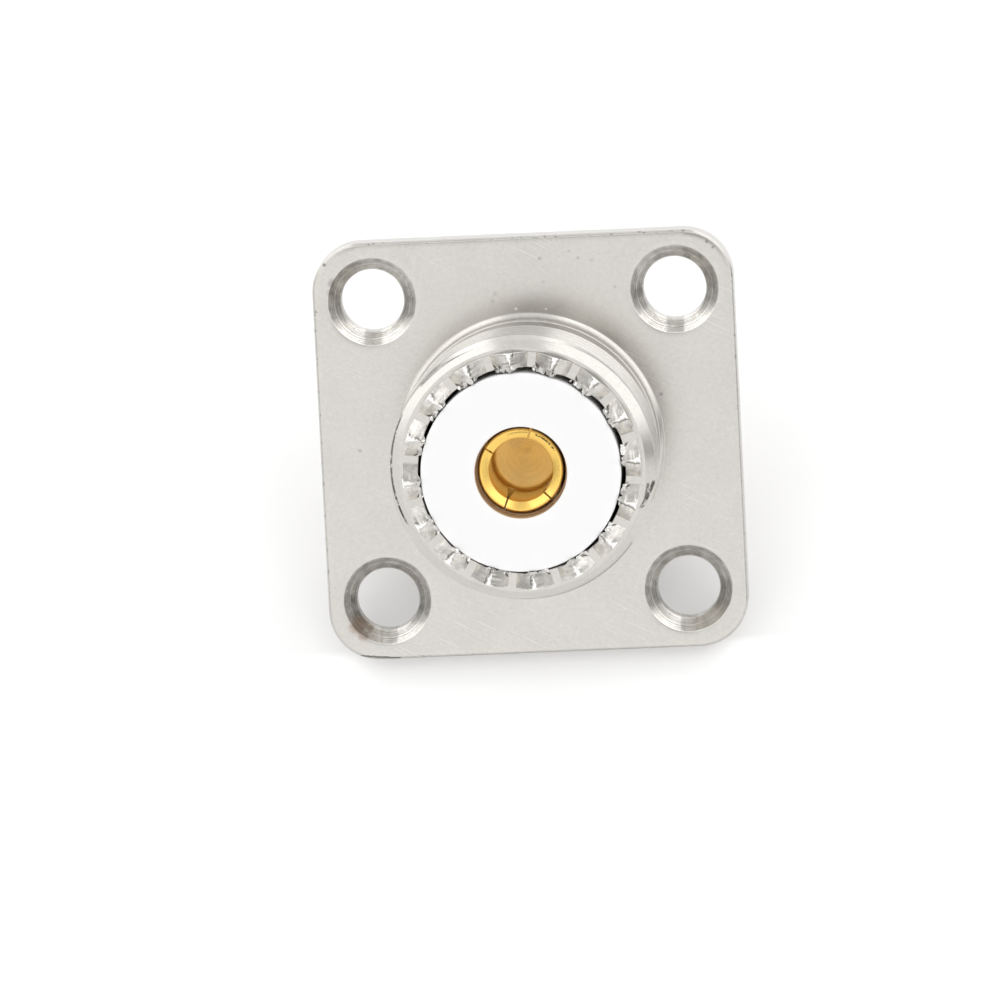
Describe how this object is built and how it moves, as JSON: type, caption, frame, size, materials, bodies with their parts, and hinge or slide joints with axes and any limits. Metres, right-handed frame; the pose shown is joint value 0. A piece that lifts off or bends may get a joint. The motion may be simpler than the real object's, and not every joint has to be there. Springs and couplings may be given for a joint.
{
  "type": "uhf panel jack",
  "caption": "Square-flange coaxial panel socket with a threaded barrel, serrated rim, white insulator, slotted centre contact and rear solder cup.",
  "frame": {"origin": "centre of the flange's back face, on the jack's axis, at the middle of the four screw holes", "axes": "+Z along the jack's axis, out of the mating end; X and Y parallel to the sides of the square flange"},
  "size_m": [0.0254, 0.0254, 0.0236],
  "materials": {
    "plated_shell": "bright nickel plate, turned and milled",
    "white_insulator": "smooth waxy white",
    "gold_contact": "gold plate over turned metal",
    "spring_ring": "nickel plate"
  },
  "bodies": {
    "root": {"shell": "plated_shell", "front_insulator": "white_insulator", "rear_insulator": "white_insulator", "centre_contact": "gold_contact", "retaining_ring": "spring_ring"}
  },
  "joints": []
}
